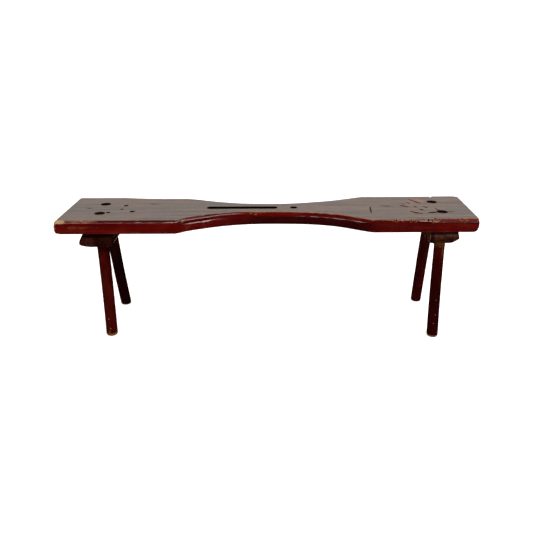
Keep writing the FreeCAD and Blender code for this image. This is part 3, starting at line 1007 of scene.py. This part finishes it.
# Dents as (height, direction in degrees round from +X, size in millimetres).
LEG_DENTS = {"front_left": ((62, 262, 6.0), (27, 272, 6.5), (36, 255, 4.5), (16, 262, 5.0)), "back_left": (),
             "front_right": ((80, 272, 6.0), (132, 268, 5.0), (50, 262, 5.0)),
             "back_right": ((318, 255, 6.0),)}
LEG_WORN = {"front_left": (12, 0.75), "front_right": (8, 0.62)}  # how far up the foot is worn, and how much
# How much painted shade darkens each leg low down, most on the back left leg.
LEG_SHADE = {"front_left": 0.0, "back_left": 1.0, "front_right": 0.60, "back_right": 0.12}
# One leg has a thicker, barer collar under its shoulder, and a long worn streak below it.
COLLARED_LEG = "front_right"
COLLAR_LENGTH = 22
COLLAR_SWELL = 0.4
COLLAR_WEAR = [(-28, 0.0), (-24, 0.45), (-17, 0.57), (-10, 0.74), (-5, 1.0)]  # heights from the shoulder
COLLAR_BARE_AND_HIGHLIGHT = 0.60  # raw-wood colour right under the shoulder: worn wood, with a painted highlight on the lit shoulder
STREAK_DIRECTION = math.radians(285)
STREAK_WEAR = 0.42


def shaft_radii(name, heights):
    """A leg's radius at each of two heights, measured on its CAD node."""
    (foot, _), (top, _) = leg_ends(name)
    tree = tree_of(name + "_leg")
    radii = []
    for z in heights:
        y = foot.lerp(top, z / top.z).y
        sides = [tree.ray_cast(Vector((-2 * sign, y, z)), Vector((sign, 0, 0)))[0].x for sign in (1, -1)]
        radii.append((sides[1] - sides[0]) / 2)
    return radii


def leg_levels(shoulder):
    """Heights of a leg's rings, closer together at its foot and at its shoulder."""
    low = [0.0, 0.6, 1.6, 3.2, 5.5, 8.5]
    high = [12.0, 9.0, 6.0, 3.5, 1.8, 0.6, 0.1]
    first, last, count = 12.0, shoulder / MM - 15.0, 116
    middle = [lerp(first, last, i / count) for i in range(count + 1)]
    return [z * MM for z in low + middle] + [shoulder - z * MM for z in high]


def make_leg(name, seed):
    """A shaved leg: faceted along its length, its foot worn round, its tenon rising through the plank."""
    (foot, _), (top, tenon_r) = leg_ends(name)
    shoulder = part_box(("left" if "left" in name else "right") + "_cleat")[0].z
    foot_r, shoulder_r = shaft_radii(name, (LEG_PROBE, shoulder - LEG_PROBE))
    flats = 9 + seed % 3
    dents = LEG_DENTS[name]
    tenon = [shoulder - 0.1 * MM + (top.z - shoulder) * i / 8 for i in range(9)]
    rings = []
    for z, in_tenon in [(z, False) for z in leg_levels(shoulder)] + [(z, True) for z in tenon]:
        share = z / shoulder
        centre = foot.lerp(top, z / top.z)
        if not in_tenon:
            centre.x += LEG_BOWS[name] * MM * math.sin(math.pi * share)
        ring = []
        for a, direction in round_directions(LEG_SIDES):
            if in_tenon:
                radius = tenon_r - TENON_CLEARANCE
            else:
                radius = lerp(foot_r, shoulder_r, share)
                part = (a * flats / (2 * math.pi) + 0.15 * math.sin(5 * share + seed)) % 1.0
                flat = math.cos(math.pi / flats) / math.cos(math.pi * (2 * part - 1) / flats)
                radius *= lerp(1.0, flat, LEG_FACETING)
                worn = FOOT_ROUNDING * fade(0, 5, z / MM)
                worn += SHOULDER_ROUNDING * smoothstep(-2.6, 0, (z - shoulder) / MM)
                shaved = 0.5 + 0.5 * ripple(direction * 0.02 + UP * z, (0.02, 0.02, 0.07), seed * 3.3)
                if name == COLLARED_LEG:
                    height = COLLAR_LENGTH + (z - shoulder) / MM
                    worn -= COLLAR_SWELL * smoothstep(-2, 2, height)
                radius -= MM * (worn + 0.7 * shaved)
                for height, side, size in dents:
                    away = math.hypot(z / MM - height, radius / MM * (a - math.radians(side)))
                    radius -= 0.35 * size * MM * max(1 - (away / size) ** 2, 0.0)
            ring.append(centre + direction * radius)
        rings.append(ring)
    leg = new_object(name + "_leg_shaved", lathe_mesh(rings), LEG_WOOD, END_GRAIN)
    for face in leg.data.polygons:
        if face.center.z > SEAT - END_GRAIN_DEPTH:
            face.material_index = 1
    finish_mesh(leg)

    def direction_of(p):
        """Which way p lies from the leg's line, in radians round from +X."""
        centre = foot.lerp(top, p.z / top.z)
        return math.atan2(p.y - centre.y, p.x - centre.x)

    def rubbed(p):
        """Worn round the foot, and on the one leg also on its collar and along its streak."""
        worn = 0.0
        if name in LEG_WORN:
            height, amount = LEG_WORN[name]
            worn = amount * fade(0.4 * height, 1.6 * height, p.z / MM)
        if name == COLLARED_LEG:
            side = smoothstep(0.8, 1.0, math.cos(direction_of(p) - STREAK_DIRECTION))
            streak = STREAK_WEAR * side * smoothstep(0.4, 0.7, p.z / shoulder)
            worn = max(worn, streak, table_value(COLLAR_WEAR, (p.z - shoulder) / MM))
        return worn

    def grime(p):
        """Painted shade, thickest low on the leg."""
        return LEG_SHADE[name] * fade(0.5, 1.0, p.z / shoulder)

    def bare(p):
        """Light raw-wood spots in the middle of each dent, painted glints that also read as small chip marks,
        and raw wood right under the collar's shoulder, worn and partly a painted highlight.
        """
        away = (p - foot.lerp(top, p.z / top.z)).length / MM
        dent_distances = [math.hypot(p.z / MM - height, away * math.sin(direction_of(p) - math.radians(turn))) / size
                 for height, turn, size in dents]
        dent_glints = 0.8 * fade(0.25, 0.5, min(dent_distances, default=1.0))
        collar = COLLAR_BARE_AND_HIGHLIGHT * smoothstep(-14, -4, (p.z - shoulder) / MM) if name == COLLARED_LEG else 0.0
        return max(collar, dent_glints)

    paint(leg, rubbed=rubbed, grime=grime, bare=bare)
    return leg


# ---- build ----


def add_piece(obj, slot, *nodes):
    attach(obj, "root")
    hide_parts(*nodes)


def recolour(node, material):
    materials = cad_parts[node].data.materials
    materials.clear()
    materials.append(material)


add_piece(make_plank(), "plank_wood", "seat_plank")

for index, side in enumerate(SIDES):
    cleat = make_cleat(side, 20.0 + 6 * index)
    add_piece(cleat, "cleat_wood", side + "_cleat")
    recolour(side + "_cleat_nails", IRON)

for index, name in enumerate(LEGS):
    add_piece(make_leg(name, index), "leg_wood", name + "_leg")
    recolour(name + "_wedge", END_GRAIN)


# ---- floor, lights and camera ----

SKY_STRENGTH = 1.85
SKY_TINT = (1.0, 0.955, 0.905)


def make_floor():
    """A floor that is pale to the camera, and otherwise dim, so that it puts no veil over the varnish."""
    bm = bmesh.new()
    bmesh.ops.create_grid(bm, x_segments=4, y_segments=4, size=30)
    s = Shader(bpy.data.materials.new("pale_floor"))
    path = s.node("ShaderNodeLightPath")
    unseen = s.mix(path.outputs["Is Glossy Ray"], (0.55, 0.55, 0.55), (0.003, 0.003, 0.003))
    seen = path.outputs["Is Camera Ray"]
    pale = s.surface(Base_Color=s.mix(seen, unseen, (0.95, 0.95, 0.95)), Roughness=1.0,
                     Emission_Strength=s.times(seen, 0.45), Emission_Color=(1, 1, 1, 1),
                     Specular_IOR_Level=0.0)
    floor = new_object("floor", bm, pale)


def make_light(name, place, target, width, height, power):
    light = bpy.data.lights.new(name, "AREA")
    light.shape = "RECTANGLE"
    light.size = width
    light.size_y = height
    light.energy = power
    obj = scene_object(name, light)
    obj.location = place
    obj.rotation_euler = (Vector(target) - Vector(place)).to_track_quat("-Z", "Y").to_euler()
    obj.visible_camera = False


def make_world():
    """A studio that is white to the camera, and otherwise brightest overhead and behind the bench."""
    world = bpy.data.worlds.new("studio")
    bpy.context.scene.world = world
    s = Shader(world)
    split = s.node("ShaderNodeSeparateXYZ", Vector=s.node("ShaderNodeTexCoord").outputs["Generated"])
    upward = s.range(split.outputs["Z"], 0.05, 0.55)
    behind = s.range(split.outputs["Y"], -0.55, 0.65)
    light = s.times(s.times(upward, behind), SKY_STRENGTH)
    seen = s.node("ShaderNodeLightPath").outputs["Is Camera Ray"]
    s.set_inputs(s.tree.nodes["Background"], {"Strength": s.maths("MAXIMUM", light, seen),
                                              "Color": s.mix(seen, SKY_TINT, (1.0, 1.0, 1.0))})


def make_camera():
    """The camera stands in front of the bench, above it and looking down on it."""
    data = bpy.data.cameras.new("camera")
    data.sensor_width = 36.0
    data.lens = 40.5
    camera = scene_object("camera", data)
    yaw, pitch, roll = math.radians(-0.42), math.radians(22.33), math.radians(-0.40)
    turn = Matrix.Rotation(-yaw, 4, "Z") @ Matrix.Rotation(math.pi / 2 - pitch, 4, "X")
    camera.matrix_world = Matrix.Translation((0.0119, -2.0272, 1.0381)) @ turn @ Matrix.Rotation(roll, 4, "Z")
    bpy.context.scene.camera = camera


make_floor()
make_world()
make_light("key", (2.5, -2.5, 3.2), (0, 0, 0.4), 2.8, 1.2, 120)
make_light("fill", (-2.5, -2.5, 3.0), (0, 0, 0.4), 2.3, 0.9, 45)
make_light("front", (-1.0, -3.3, 3.0), (-0.3, 0, 0.4), 0.9, 0.5, 14)
make_camera()
bpy.context.scene.view_settings.view_transform = "Standard"
